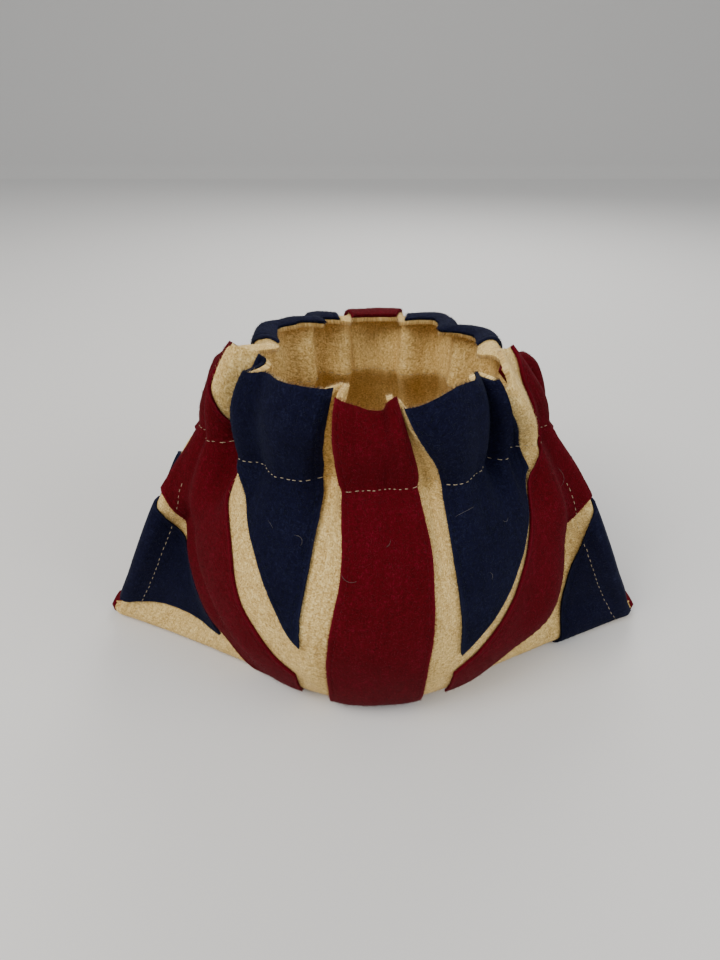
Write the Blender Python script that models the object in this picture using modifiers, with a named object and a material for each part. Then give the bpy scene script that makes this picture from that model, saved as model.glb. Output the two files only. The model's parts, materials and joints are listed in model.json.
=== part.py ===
"""Flag tea cosy: one felt cloth slung under a round teapot, gathered at the neck, with felt patches.

The cloth is laid out flat as a grid, u along X (spout to handle) and v along Y (front to back), with the
flag's centre under the pot.  Each grid point has a place in the draped cosy and an outward direction.
The felt patches are cut from the same grid with straight cuts, so they lie exactly on the cloth's facets.
+Z is up, the spout side is -X, the front is -Y, and the origin is on the table under the middle.
"""
import math
from functools import lru_cache

import bmesh
import bpy
import numpy as np
from mathutils import Vector

# ---- driving dimensions, metres -----------------------------------------------------------------
CLOTH_THICK = 0.0020        # thick wool felt
HEM_THICK = 0.0038          # the felt turned back on itself along the two side openings
HEM_WIDTH = 0.0085
PATCH_THICK = 0.0012        # thinner felt of the diagonals and the triangles
BAR_THICK = 0.0015          # felt of the upright and cross bars, which the cosy stands on
SEW_GAP = 0.0003            # clearance between a patch and the cloth, or between two patches
BASE_Z = BAR_THICK + SEW_GAP     # underside of the cloth where it lies flat

HALF_WIDTH = 0.121          # from the middle to a side hem, under the pot
CORNER_HALF = 0.0060        # half the blunt fold at the spout corner and at the handle corner
CORNER_BUNCH = 0.0120       # felt drawn together in each half of that fold
# how many degrees further round the pot the cloth clings before it goes out to a hem
WING_WRAP = {"front_spout": 36.0, "front_handle": 31.0, "back": 24.0}
FLANK_FULL = 0.0025         # how far the felt stands off the pot's lower flanks
TURN_AWAY = 9.0             # the further the cloth clings, the more sharply it then turns out to the hem
BASE_RADIUS = 0.057         # where the cloth leaves the table in front
NECK_HEIGHT = 0.098         # gathering stitch above the cloth's underside
RUFFLE_FRONT = 0.034        # felt that stands above the gathering stitch
RUFFLE_BACK = 0.038
RUFFLE_RADIUS = 0.0585
EDGE_DROP = 0.036           # how much shorter the cloth is at its side hems than along its middle
CREASE_ROUND = 0.0040       # softness of the fold where the cloth turns up from the table
SOFT_REACH = 0.0060         # felt bends over this length at the stitch and at the table, never in a line

# ---- the flag, flat on the cloth ----------------------------------------------------------------
BAR_HALF = 0.0168           # upright bar
TRIANGLE_REACH = 0.0865     # an inner triangle is cut off straight this far from the centre line
CROSS_HALF = 0.0175         # cross bar
CROSS_MIDDLE = 0.0100       # the cross bar lies a little behind the pot's middle
# The pieces are cut and placed by eye, so the four quarters differ.  Lengths in metres on the flat cloth,
# measured from under the pot's middle; angles in degrees from the upright bar.  Columns:
# quarter; cream beside the upright bar; inner triangle: angle of its upright side, v of its tip, angle of
# its slant;
# the diagonal's cut end: u, v of its lower corner, length; angles of its lower and upper edges;
# outer triangle: u, v of its tip, v of its low edge at the hem, angle of its slant
FLAG_QUARTERS = (
    ("front_spout", 0.0085, 4.0, 0.105, 44.5, 0.0290, 0.030, 0.052, 51.5, 39.5, 0.070, 0.0540, 0.034, 51.0),
    ("front_handle", 0.0125, 0.0, 0.0968, 53.0, 0.0275, 0.060, 0.025, 67.0, 48.0, 0.080, 0.027, 0.021, 31.5),
    ("back_spout", 0.0095, 0.0, 0.106, 40.0, 0.0285, 0.062, 0.029, 57.0, 51.0, 0.040, 0.052, 0.036, 57.0),
    ("back_handle", 0.0100, 0.0, 0.103, 40.0, 0.0280, 0.062, 0.028, 57.0, 50.0, 0.042, 0.050, 0.036, 57.0),
)

# ---- grid --------------------------------------------------------------------------------------
COLUMNS = 46
FLOOR_ROWS = 3
WALL_ROWS = 10
RUFFLE_ROWS = 4

# ---- side view of the bellied pot: height above the cloth's underside, radius ---------------------
POT_SIDE = (
    (0.000, BASE_RADIUS), (0.004, 0.0620), (0.010, 0.0670), (0.020, 0.0725), (0.035, 0.0770),
    (0.050, 0.0785), (0.065, 0.0765), (0.080, 0.0705), (0.090, 0.0635), (NECK_HEIGHT, 0.0560),
)
# the side hems: height, distance from the middle along X, half gap of the opening along Y
SIDE_HEM = (
    (0.000, HALF_WIDTH, CORNER_HALF), (0.012, 0.1145, 0.0115), (0.025, 0.1075, 0.0150),
    (0.045, 0.0985, 0.0180), (0.060, 0.0915, 0.0180), (0.075, 0.0845, 0.0160),
    (0.088, 0.0765, 0.0110), (NECK_HEIGHT, 0.0690, 0.0035),
)

# folds: place along u, depth outwards (+) or inwards (-), half width, reach below the stitch, lean along u
FRONT_FOLDS = (
    (-0.114, 0.0015, 0.007, 0.030, 0.0000),
    (-0.098, 0.0050, 0.010, 0.060, 0.0000),
    (-0.083, -0.0080, 0.010, 0.034, -0.0020),
    (-0.070, 0.0032, 0.009, 0.030, 0.0000),
    (-0.058, -0.0010, 0.008, 0.020, 0.0000),
    (-0.046, 0.0024, 0.014, 0.034, 0.0000),
    (-0.026, -0.0080, 0.0095, 0.040, 0.0015),
    (-0.015, 0.0020, 0.007, 0.050, 0.0000),
    (0.004, -0.0012, 0.010, 0.030, 0.0000),
    (0.022, -0.0045, 0.008, 0.045, 0.0010),
    (0.038, 0.0030, 0.011, 0.040, 0.0000),
    (0.060, -0.0065, 0.010, 0.028, 0.0020),
    (0.069, 0.0020, 0.006, 0.024, 0.0000),
    (0.079, -0.0034, 0.012, 0.040, 0.0000),
    (0.094, 0.0050, 0.011, 0.055, 0.0000),
    (0.110, -0.0020, 0.007, 0.040, 0.0000),
)
BACK_FOLDS = (
    (-0.108, 0.0035, 0.010, 0.040, 0.0000),
    (-0.090, -0.0065, 0.010, 0.050, 0.0000),
    (-0.072, 0.0040, 0.010, 0.035, 0.0000),
    (-0.050, -0.0075, 0.010, 0.050, 0.0030),
    (-0.036, 0.0030, 0.009, 0.040, 0.0000),
    (-0.022, -0.0050, 0.008, 0.045, 0.0020),
    (0.002, 0.0020, 0.014, 0.035, 0.0000),
    (0.025, -0.0055, 0.009, 0.055, -0.0020),
    (0.042, 0.0030, 0.010, 0.040, 0.0000),
    (0.060, -0.0065, 0.010, 0.045, 0.0000),
    (0.078, 0.0040, 0.011, 0.040, 0.0000),
    (0.096, -0.0050, 0.010, 0.040, 0.0000),
)

# the ruffle is drawn together above the stitch: side, place along u, half width, shift along its top edge
RUFFLE_SWAY = (
    ("front", -0.085, 0.050, 0.0080), ("front", -0.066, 0.016, -0.0030), ("front", -0.036, 0.024, 0.0050),
    ("front", -0.014, 0.020, -0.0030), ("front", 0.026, 0.030, -0.0080), ("front", 0.086, 0.052, -0.0090),
    ("back", -0.080, 0.050, 0.0030), ("back", 0.080, 0.050, -0.0040),
)
# the ruffle's top edge is cut by eye: side, place along u, half width, how much higher it stands
TOP_EDGE = (
    ("front", -0.094, 0.014, 0.0060), ("front", -0.050, 0.040, 0.0020), ("front", 0.000, 0.022, -0.0060),
    ("front", 0.030, 0.014, -0.0040), ("front", 0.045, 0.022, 0.0015), ("front", 0.086, 0.020, -0.0070),
    ("front", 0.106, 0.016, 0.0020),
    ("back", 0.000, 0.130, 0.0030), ("back", -0.060, 0.030, 0.0020), ("back", 0.000, 0.022, -0.0010),
    ("back", 0.085, 0.030, -0.0020),
)

# the wall leans sideways here: side, place along u, half width, distance below the stitch, half height, shift
WALL_SWAY = (
    ("front", -0.010, 0.022, 0.028, 0.046, 0.0040), ("front", 0.014, 0.020, 0.022, 0.022, 0.0025),
    ("front", 0.014, 0.020, 0.045, 0.030, 0.0028),
)
# slanted creases of the wall: u, v at both ends, depth, half width
CREASES = (
    (-0.113, -0.110, -0.046, -0.064, -0.0045, 0.012),
    (0.110, -0.088, 0.078, -0.040, -0.0030, 0.010),
    (0.100, -0.138, 0.058, -0.066, 0.0045, 0.018),
    (-0.030, -0.128, -0.020, -0.070, 0.0016, 0.008),
    (-0.108, 0.106, -0.056, 0.070, -0.0040, 0.011),
    (0.112, 0.108, 0.050, 0.066, -0.0040, 0.011),
)


def smooth(x):
    """Ease from 0 to 1."""
    x = min(1.0, max(0.0, x))
    return x * x * (3.0 - 2.0 * x)


def eased(table, column):
    """A curve through one column of a table, with no corners and no overshoot."""
    xs = [row[0] for row in table]
    ys = [row[column] for row in table]
    slopes = np.diff(ys) / np.diff(xs)
    tangents = [slopes[0]]
    for before, after in zip(slopes[:-1], slopes[1:]):
        tangents.append(0.0 if before * after <= 0.0 else 2.0 * before * after / (before + after))
    tangents.append(slopes[-1])

    def value(x):
        x = min(xs[-1], max(xs[0], x))
        i = min(len(xs) - 2, int(np.searchsorted(xs, x, side="right")) - 1)
        width = xs[i + 1] - xs[i]
        t = (x - xs[i]) / width
        return float(
            ys[i] * (2 * t**3 - 3 * t**2 + 1) + tangents[i] * width * (t**3 - 2 * t**2 + t)
            + ys[i + 1] * (3 * t**2 - 2 * t**3) + tangents[i + 1] * width * (t**3 - t**2)
        )

    return value


pot_radius = eased(POT_SIDE, 1)
hem_reach = eased(SIDE_HEM, 1)
hem_gap = eased(SIDE_HEM, 2)

# length along the pot's side, from the table up, and the height at each length
SIDE_HEIGHTS = np.linspace(0.0, NECK_HEIGHT, 200)
SIDE_RADII = np.array([pot_radius(z) for z in SIDE_HEIGHTS])
SIDE_LENGTHS = np.concatenate(([0.0], np.cumsum(np.hypot(np.diff(SIDE_HEIGHTS), np.diff(SIDE_RADII)))))
WALL_LENGTH = float(SIDE_LENGTHS[-1])
NECK_MIDDLE = BASE_RADIUS + WALL_LENGTH      # flat distance from the flag's centre to the stitch


@lru_cache(maxsize=None)
def plan_row(height, quarter):
    """The cloth's front seen from above at one height: points from the middle to a side hem.

    The cloth lies on the round pot, leaves it part of the way round and sags in a hollow to the hem.
    Returns the lengths along the row and the points.
    """
    radius = pot_radius(height)
    hem = Vector((hem_reach(height), -hem_gap(height)))
    taut = math.atan2(-hem.y, hem.x) + math.acos(min(1.0, radius / hem.length))
    hollow = smooth(height / 0.020) * smooth((NECK_HEIGHT - height) / 0.030)
    cling = smooth(height / 0.035) * smooth((NECK_HEIGHT - height) / 0.045)
    leave = taut - math.radians(WING_WRAP[quarter]) * cling
    points = [
        Vector((radius * math.sin(turn), -radius * math.cos(turn)))
        for turn in np.linspace(0.0, math.pi / 2 - leave, 24)
    ]
    start = points[-1]
    span = (hem - start).length
    ahead = start + Vector((math.sin(leave), math.cos(leave))) * span * TURN_AWAY / WING_WRAP[quarter]
    straight = (hem - start).normalized()
    lip = Vector((1.0, -0.25)).normalized()
    behind = hem - straight.lerp(lip, hollow) * span * 0.38
    for t in np.linspace(0.0, 1.0, 24)[1:]:
        t = float(t)
        points.append(
            start * (1 - t) ** 3 + ahead * 3 * t * (1 - t) ** 2 + behind * 3 * t**2 * (1 - t) + hem * t**3
        )
    low = smooth((height - 0.018) / 0.012) * smooth((0.075 - height) / 0.045)
    for point in points:
        point.x += FLANK_FULL * low * smooth(point.x / 0.05) * smooth((hem.x - point.x) / 0.05)
    steps = [(b - a).length for a, b in zip(points[:-1], points[1:])]
    return np.concatenate(([0.0], np.cumsum(steps))), np.array([tuple(point) for point in points])


def plan_point(height, share, side):
    """A point of the cloth's front seen from above at one height, and its outward direction.

    share runs from -1 at the spout hem to 1 at the handle hem, evenly along the cloth; side is -1 for the
    front and 1 for the back, whose plan is turned to the front.
    """
    quarter = "back" if side > 0 else "front_spout" if share < 0 else "front_handle"
    lengths, points = plan_row(round(height, 5), quarter)
    place = abs(share) * lengths[-1]
    x = float(np.interp(place, lengths, points[:, 0]))
    y = float(np.interp(place, lengths, points[:, 1]))
    near = [max(0.0, place - 0.002), min(lengths[-1], place + 0.002)]
    dx, dy = (float(np.diff(np.interp(near, lengths, points[:, axis]))[0]) for axis in (0, 1))
    size = math.hypot(dx, dy)
    sign = -1.0 if share < 0 else 1.0
    return Vector((sign * x, y, 0.0)), Vector((sign * dy / size, -dx / size, 0.0))


FLOOR_SHARES = np.linspace(0.0, 1.0, 300)
FLOOR_POINTS = np.array([plan_point(0.0, share, 1)[0][:2] for share in FLOOR_SHARES])


def floor_depth(u):
    """How far in front of the centre line the cloth leaves the table at a place along u."""
    return float(np.interp(abs(u), FLOOR_POINTS[:, 0], -FLOOR_POINTS[:, 1]))


def turn_up(u):
    """Flat distance from the centre line to where the cloth leaves the table, with the bunched felt."""
    return floor_depth(u) + CORNER_BUNCH * (abs(u) / HALF_WIDTH) ** 3


def neck_length(u):
    """Flat distance from the centre line to the gathering stitch at a place along u."""
    return NECK_MIDDLE - EDGE_DROP * (abs(u) / HALF_WIDTH) ** 2


def fold_shift(folds, u, below):
    """Outward and sideways shift of the cloth at a place along u, a distance below the stitch."""
    outward = 0.0
    sideways = 0.0
    for place, depth, half_width, reach, lean in folds:
        near = 1.0 - abs(u - place) / half_width
        if near > 0.0:
            share = smooth(near) * smooth(1.0 - below / reach)
            outward += depth * share
            sideways += lean * share
    return outward, sideways


def top_shift(table, u, side):
    """Sum of a table's bumps at a place along u, for the front (side -1) or the back (side 1)."""
    name = "front" if side < 0 else "back"
    return sum(
        amount * smooth(1.0 - abs(u - place) / half_width)
        for label, place, half_width, amount in table if label == name
    )


def wall_sway(u, below, side):
    """Sideways shift of the wall at a place along u, a distance below the stitch."""
    name = "front" if side < 0 else "back"
    return sum(
        amount * smooth(1.0 - abs(u - place) / half_width) * smooth(1.0 - abs(below - middle) / half_height)
        for label, place, half_width, middle, half_height, amount in WALL_SWAY if label == name
    )


def crease_shift(u, v):
    """Outward shift of the cloth near the slanted creases."""
    outward = 0.0
    for u1, v1, u2, v2, depth, half_width in CREASES:
        line = Vector((u2 - u1, v2 - v1))
        place = Vector((u - u1, v - v1))
        part = place.dot(line) / line.length_squared
        if 0.0 < part < 1.0:
            aside = (place - line * part).length
            outward += depth * smooth(1.0 - aside / half_width) * smooth(min(part, 1.0 - part) / 0.3)
    return outward


def drape(u, v):
    """Where a point of the flat cloth lies in the cosy, with its bends softened along v."""
    if abs(v) <= turn_up(u) - SOFT_REACH:
        return Vector((u, v * floor_depth(u) / turn_up(u), BASE_Z))
    steps = [SOFT_REACH * k for k in (-1.0, -0.5, 0.0, 0.5, 1.0)]
    return sum((drape_sharp(u, v + step) for step in steps), Vector()) / len(steps)


def drape_sharp(u, v):
    """Where a point of the flat cloth lies, before its bends are softened."""
    distance = abs(v)
    depth = turn_up(u)
    side = -1.0 if v < 0 else 1.0
    if distance <= depth:
        return Vector((u, v * floor_depth(u) / depth, BASE_Z))
    wall = neck_length(u) - depth
    climbed = distance - depth
    part = min(1.0, climbed / wall)
    wing = smooth((abs(u) / HALF_WIDTH - 0.45) / 0.5)
    centre_height = float(np.interp(part * WALL_LENGTH, SIDE_LENGTHS, SIDE_HEIGHTS))
    height = centre_height * (1 - wing) + NECK_HEIGHT * part * wing
    floor_share = float(np.interp(abs(u), FLOOR_POINTS[:, 0], FLOOR_SHARES))
    even = smooth(part / 0.4)
    share = math.copysign(floor_share * (1 - even) + abs(u) / HALF_WIDTH * even, u)
    place, out = plan_point(height, share, side)
    along = Vector((-out.y, out.x, 0.0))
    above = max(0.0, climbed - wall)
    folds = FRONT_FOLDS if side < 0 else BACK_FOLDS
    below = max(0.0, wall - climbed)
    outward, sideways = fold_shift(folds, u, below)
    outward += crease_shift(u, v)
    sideways += wall_sway(u, below, side)
    rise = height * (1.0 - math.exp(-climbed / CREASE_ROUND)) + above
    if above > 0.0:
        tall = RUFFLE_FRONT if side < 0 else RUFFLE_BACK
        part_up = above / tall
        spread = RUFFLE_RADIUS / place.length
        place *= 1.0 + (spread - 1.0) * smooth(part_up)
        outward += 0.0020 * math.sin(math.pi * min(1.0, part_up))
        sideways += top_shift(RUFFLE_SWAY, u, side) * smooth(part_up)
        rise += top_shift(TOP_EDGE, u, side) * part_up
        if side > 0:
            curl = max(0.0, part_up - 0.70) / 0.30
            outward -= 0.0090 * curl
            rise -= 0.0120 * curl**1.5
    place += out * outward + along * sideways
    return Vector((place.x, place.y * -side, BASE_Z + rise))


# ---- scene -------------------------------------------------------------------------------------
for old in list(bpy.data.objects):
    bpy.data.objects.remove(old, do_unlink=True)
cosy = bpy.data.collections.new("tea_cosy")
bpy.context.scene.collection.children.link(cosy)


def material(name, colour, roughness):
    """A Principled material of one plain colour."""
    made = bpy.data.materials.new(name)
    made.use_nodes = True
    shader = made.node_tree.nodes["Principled BSDF"]
    shader.inputs["Base Color"].default_value = (*colour, 1.0)
    shader.inputs["Roughness"].default_value = roughness
    shader.inputs["Metallic"].default_value = 0.0
    return made


CREAM_FELT = material("cream_felt", (0.56, 0.42, 0.25), 0.95)
RED_FELT = material("red_felt", (0.20, 0.012, 0.018), 0.95)
NAVY_FELT = material("navy_felt", (0.016, 0.020, 0.045), 0.95)


# ---- the flat grid -----------------------------------------------------------------------------
def column_place(i):
    """Place along u of a grid column, with a narrow pair at each hem for the turned-back felt."""
    inner = HALF_WIDTH - HEM_WIDTH
    if i <= 1 or i >= COLUMNS - 1:
        steps = min(i, COLUMNS - i)
        return math.copysign(HALF_WIDTH - steps * HEM_WIDTH * 0.9, i - COLUMNS / 2)
    share = (i - 2) / (COLUMNS - 4)
    return inner * (2 * share - 1)


def row_place(j, u):
    """Signed flat distance of a grid row from the centre line, at a place along u."""
    half_rows = FLOOR_ROWS + WALL_ROWS + RUFFLE_ROWS
    k = abs(j - half_rows)
    side = -1.0 if j < half_rows else 1.0
    depth = turn_up(u)
    if k <= FLOOR_ROWS:
        return side * depth * k / FLOOR_ROWS
    if k <= FLOOR_ROWS + WALL_ROWS:
        part = (k - FLOOR_ROWS) / WALL_ROWS
        part = 0.75 * part + 0.25 * part**0.5 if part < 1 else 1.0
        return side * (depth + (neck_length(u) - depth) * part)
    tall = RUFFLE_FRONT if side < 0 else RUFFLE_BACK
    return side * (neck_length(u) + tall * (k - FLOOR_ROWS - WALL_ROWS) / RUFFLE_ROWS)


def flat_cloth():
    """The cloth as a flat triangulated grid that carries each point's draped place and direction."""
    rows = 2 * (FLOOR_ROWS + WALL_ROWS + RUFFLE_ROWS)
    bm = bmesh.new()
    bmesh.ops.create_grid(bm, x_segments=COLUMNS, y_segments=rows, size=0.5)
    draped = bm.verts.layers.float_vector.new("draped")
    outward = bm.verts.layers.float_vector.new("outward")
    for vert in bm.verts:
        i = round((vert.co.x + 0.5) * COLUMNS)
        j = round((vert.co.y + 0.5) * rows)
        u = column_place(i)
        vert.co = (u, row_place(j, u), 0.0)
    bmesh.ops.reverse_faces(bm, faces=bm.faces)
    bmesh.ops.triangulate(bm, faces=bm.faces, quad_method="SHORT_EDGE")
    flat = {vert: vert.co.copy() for vert in bm.verts}
    for vert in bm.verts:
        vert.co = drape(flat[vert].x, flat[vert].y)
        vert[draped] = vert.co
    bm.normal_update()
    for vert in bm.verts:
        vert[outward] = vert.normal
    for vert in bm.verts:
        vert.co = flat[vert]
    return bm


def add_object(name, bm, felt):
    """Put a mesh in the cosy's collection as a named object."""
    mesh = bpy.data.meshes.new(name)
    bm.to_mesh(mesh)
    bm.free()
    mesh.materials.append(felt)
    obj = bpy.data.objects.new(name, mesh)
    cosy.objects.link(obj)
    return obj


def lift_into_place(bm, lift):
    """Move a flat piece to its draped place, a distance outside the cloth's outer side."""
    draped = bm.verts.layers.float_vector["draped"]
    outward = bm.verts.layers.float_vector["outward"]
    for vert in bm.verts:
        vert.co = vert[draped] + vert[outward] * lift


def add_cloth(flat):
    """The cream cloth: one felt sheet, thicker where its side hems are turned back."""
    bm = flat.copy()
    hem_faces = [abs(vert.co.x) > HALF_WIDTH - HEM_WIDTH for vert in bm.verts]
    lift_into_place(bm, 0.0)
    obj = add_object("base_cloth", bm, CREAM_FELT)
    hem = obj.vertex_groups.new(name="hem")
    for index, turned in enumerate(hem_faces):
        hem.add([index], 1.0 if turned else 0.0, "REPLACE")
    solid = obj.modifiers.new("thickness", "SOLIDIFY")
    solid.thickness = HEM_THICK
    solid.offset = -1.0
    solid.vertex_group = "hem"
    solid.thickness_vertex_group = CLOTH_THICK / HEM_THICK


def add_patch(flat, name, felt, thick, corners):
    """A felt patch with straight sides, cut from the flat cloth and sewn on its outer side."""
    bm = flat.copy()
    middle = Vector((sum(c[0] for c in corners), sum(c[1] for c in corners), 0.0)) / len(corners)
    for start, end in zip(corners, corners[1:] + corners[:1]):
        side = Vector((end[0] - start[0], end[1] - start[1], 0.0))
        away = Vector((side.y, -side.x, 0.0)).normalized()
        if away.dot(middle - Vector((*start, 0.0))) > 0:
            away.negate()
        bmesh.ops.bisect_plane(
            bm, geom=bm.verts[:] + bm.edges[:] + bm.faces[:], dist=0.0001,
            plane_co=(*start, 0.0), plane_no=away, clear_outer=True,
        )
    bmesh.ops.triangulate(bm, faces=bm.faces)
    lift_into_place(bm, SEW_GAP)
    obj = add_object(name, bm, felt)
    solid = obj.modifiers.new("thickness", "SOLIDIFY")
    solid.thickness = thick
    solid.offset = 1.0
    return obj


# ---- the flag's patches ------------------------------------------------------------------------
FAR = 0.30      # past the cloth's edges, where a patch runs out to a hem or the ruffle


def along(point, degrees, distance=FAR):
    """A point at a distance along a direction measured from the upright bar."""
    angle = math.radians(degrees)
    return (point[0] + distance * math.sin(angle), point[1] + distance * math.cos(angle))


def add_flag(flat):
    """Bars, diagonals and triangles, as straight-sided pieces of felt."""
    cross_front = CROSS_MIDDLE - CROSS_HALF
    cross_back = CROSS_MIDDLE + CROSS_HALF
    add_patch(flat, "cross_bar", RED_FELT, BAR_THICK,
              [(-FAR, cross_front), (FAR, cross_front), (FAR, cross_back), (-FAR, cross_back)])
    for name, start, end in (
        ("upright_bar_front", cross_front - SEW_GAP, -FAR),
        ("upright_bar_back", cross_back + SEW_GAP, FAR),
    ):
        add_patch(flat, name, RED_FELT, BAR_THICK,
                  [(-BAR_HALF, start), (BAR_HALF, start), (BAR_HALF, end), (-BAR_HALF, end)])

    for row in FLAG_QUARTERS:
        label, cream, upright_angle, tip_v, tip_angle, foot_u, foot_v, cut, low_angle, high_angle = row[:10]
        wing_u, wing_v, low_v, slant = row[10:]
        u_sign = -1.0 if label.endswith("spout") else 1.0
        v_sign = -1.0 if label.startswith("front") else 1.0
        inner = BAR_HALF + cream
        foot = (foot_u, foot_v)
        shoulder = (foot_u, foot_v + cut)
        tip = (inner, tip_v)
        slope = (TRIANGLE_REACH - inner) / math.sin(math.radians(tip_angle))
        wing = (wing_u, wing_v)
        low = (HALF_WIDTH, low_v)
        low_far = along(low, math.degrees(math.atan2(HALF_WIDTH - wing_u, low_v - wing_v)), 0.05)
        shapes = {
            "diagonal": (RED_FELT, [foot, along(foot, low_angle), along(shoulder, high_angle), shoulder]),
            "inner_triangle": (NAVY_FELT, [tip, along(tip, tip_angle, slope), (TRIANGLE_REACH, FAR),
                                           along(tip, upright_angle)]),
            "outer_triangle": (NAVY_FELT, [wing, low_far, along(wing, slant)]),
        }
        for kind, (felt, corners) in shapes.items():
            placed = [(u * u_sign, v * v_sign) for u, v in corners]
            add_patch(flat, f"{kind}_{label}", felt, PATCH_THICK, placed)


flat_grid = flat_cloth()
add_cloth(flat_grid)
add_flag(flat_grid)
flat_grid.free()
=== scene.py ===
"""A flag tea cosy of wool felt.

One cream cloth is slung under a round teapot and gathered at the neck, with red and navy felt sewn on it as
a flag.  Every piece of felt is drawn flat first, in the cloth's own flat measure: u runs from the spout side
to the handle side and v from the front to the back, in metres, from the flag's centre.  It is then laid
where that part of the cloth hangs.
"""
import json
import math
import random

import bmesh
import bpy
import numpy as np
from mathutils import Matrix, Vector, noise


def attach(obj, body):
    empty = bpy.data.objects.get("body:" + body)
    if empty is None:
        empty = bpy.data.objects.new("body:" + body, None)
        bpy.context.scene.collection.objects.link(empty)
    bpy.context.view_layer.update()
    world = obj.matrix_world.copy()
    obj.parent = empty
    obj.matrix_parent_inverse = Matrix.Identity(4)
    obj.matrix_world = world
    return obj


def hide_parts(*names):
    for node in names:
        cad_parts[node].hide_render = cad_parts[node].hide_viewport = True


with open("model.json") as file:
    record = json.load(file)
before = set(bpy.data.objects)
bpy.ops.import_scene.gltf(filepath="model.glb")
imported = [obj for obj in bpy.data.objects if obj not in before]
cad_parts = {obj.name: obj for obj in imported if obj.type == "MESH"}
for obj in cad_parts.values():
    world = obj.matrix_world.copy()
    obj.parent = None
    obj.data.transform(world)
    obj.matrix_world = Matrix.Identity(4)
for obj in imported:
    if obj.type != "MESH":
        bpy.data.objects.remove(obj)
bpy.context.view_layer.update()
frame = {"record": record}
bpy.ops.object.select_all(action="DESELECT")

# ---- the table, the light and the camera --------------------------------------------------------
# A plain pale table top that curves up behind, three soft boxes of light, and a camera that looks down
# on the cosy from its front, a quarter of a metre away.
TABLE_REACH = 1.6
CAMERA_PLACE = (-0.006, -0.2585, 0.22)
CAMERA_TILT = math.radians(60)
FRAME_HEIGHT = 960
FOCAL_PIXELS = 700
SENSOR = 36.0

bpy.ops.mesh.primitive_plane_add(size=2 * TABLE_REACH, location=(0, 0, 0))
table = bpy.context.object
table.name = "table_top"
bpy.ops.object.mode_set(mode="EDIT")
bpy.ops.mesh.select_mode(type="EDGE")
bpy.ops.mesh.select_all(action="DESELECT")
bpy.ops.object.mode_set(mode="OBJECT")
for edge in table.data.edges:
    ends = [table.data.vertices[i].co for i in edge.vertices]
    edge.select = all(end.y > 0 for end in ends)
bpy.ops.object.mode_set(mode="EDIT")
bpy.ops.mesh.extrude_region_move(TRANSFORM_OT_translate={"value": (0, 0.35, 0.12)})
bpy.ops.mesh.extrude_region_move(TRANSFORM_OT_translate={"value": (0, 0.12, 1.8)})
bpy.ops.object.mode_set(mode="OBJECT")
bend = table.modifiers.new("curved_back", "BEVEL")
bend.width = 0.4
bend.segments = 8
bend.limit_method = "ANGLE"
bpy.ops.object.modifier_apply(modifier="curved_back")
bpy.ops.object.shade_smooth()
table_paint = bpy.data.materials.new("table_paint")
table_paint.use_nodes = True
table_paint.node_tree.nodes["Principled BSDF"].inputs["Base Color"].default_value = (0.70, 0.68, 0.65, 1)
table_paint.node_tree.nodes["Principled BSDF"].inputs["Roughness"].default_value = 0.7
table.data.materials.append(table_paint)


def soft_box(name, place, aim, size, power, tint):
    """A square soft light that looks at a point."""
    lamp = bpy.data.lights.new(name, "AREA")
    lamp.shape = "SQUARE"
    lamp.size = size
    lamp.energy = power
    lamp.color = tint
    holder = bpy.data.objects.new(name, lamp)
    holder.location = place
    holder.rotation_euler = (Vector(aim) - Vector(place)).to_track_quat("-Z", "Y").to_euler()
    bpy.context.scene.collection.objects.link(holder)


soft_box("key_light", (-0.55, -0.55, 0.85), (0, 0, 0.05), 0.5, 9.0, (1.0, 0.97, 0.93))
soft_box("fill_light", (0.75, -0.45, 0.55), (0, 0, 0.05), 0.6, 4.0, (0.93, 0.96, 1.0))
soft_box("back_light", (0.15, 0.75, 0.75), (0, 0, 0.08), 0.5, 7.0, (1.0, 1.0, 1.0))
room = bpy.data.worlds.new("room")
room.use_nodes = True
room.node_tree.nodes["Background"].inputs["Color"].default_value = (0.93, 0.96, 1.0, 1)
room.node_tree.nodes["Background"].inputs["Strength"].default_value = 0.55
bpy.context.scene.world = room

lens = bpy.data.cameras.new("camera")
lens.sensor_fit = "VERTICAL"
lens.sensor_height = SENSOR
lens.lens = SENSOR * FOCAL_PIXELS / FRAME_HEIGHT
camera = bpy.data.objects.new("camera", lens)
camera.location = CAMERA_PLACE
camera.rotation_euler = (CAMERA_TILT, 0, 0)
bpy.context.scene.collection.objects.link(camera)
bpy.context.scene.camera = camera

# ---- the cream cloth ----------------------------------------------------------------------------
# One piece of thick cream wool felt.  Its middle lies under the teapot, its two ends come up at the front
# and the back, hug the pot's belly and are gathered at the neck, and its side edges are turned back.
CLOTH_THICK = 0.0020
SEW_GAP = 0.0003            # between two layers of felt
BAR_THICK = 0.0015          # felt of the upright and cross bars, under the cloth
BASE_Z = BAR_THICK + SEW_GAP
HALF_WIDTH = 0.121          # from the flag's centre to a side hem
CORNER_HALF = 0.0060        # half the blunt fold at the spout corner and at the handle corner
CORNER_BUNCH = 0.0120
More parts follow.
